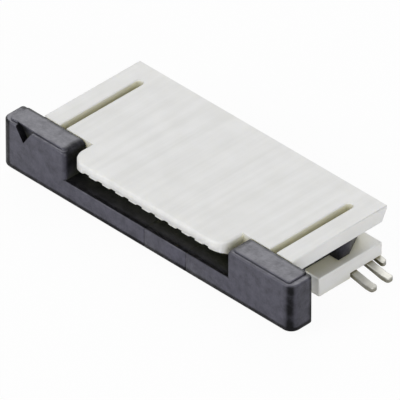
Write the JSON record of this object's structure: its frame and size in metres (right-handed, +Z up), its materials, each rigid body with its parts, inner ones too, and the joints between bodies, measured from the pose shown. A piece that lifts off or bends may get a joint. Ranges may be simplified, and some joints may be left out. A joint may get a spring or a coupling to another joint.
{
  "type": "fpc connector",
  "caption": "Right-angle surface-mount connector for a flat flexible cable, with a slide lock, fork contacts above the cable slot and solder nails at both sides.",
  "frame": {"origin": "middle of the outline seen from above, on the circuit board's surface", "axes": "+X along the row of contacts, +Y from the cable's mouth to the solder tails, +Z up from the board"},
  "size_m": [0.011, 0.005, 0.0018],
  "materials": {
    "housing_plastic": "natural white moulded nylon, fine matt texture",
    "slider_plastic": "dark grey glass-filled moulding, satin",
    "tin_plate": "phosphor bronze, matt tin plated"
  },
  "bodies": {
    "base": {"housing": "housing_plastic", "solder_nail_left": "tin_plate", "solder_nail_right": "tin_plate", "contact_01": "tin_plate", "contact_02": "tin_plate", "contact_03": "tin_plate", "contact_04": "tin_plate", "contact_05": "tin_plate", "contact_06": "tin_plate", "contact_07": "tin_plate", "contact_08": "tin_plate", "contact_09": "tin_plate", "contact_10": "tin_plate"},
    "lock": {"slider": "slider_plastic"}
  },
  "joints": [
    {"name": "lock_slide", "type": "slide", "parent": "base", "child": "lock", "axis": [0, -1, 0], "range_m": [0, 0.00085]}
  ]
}
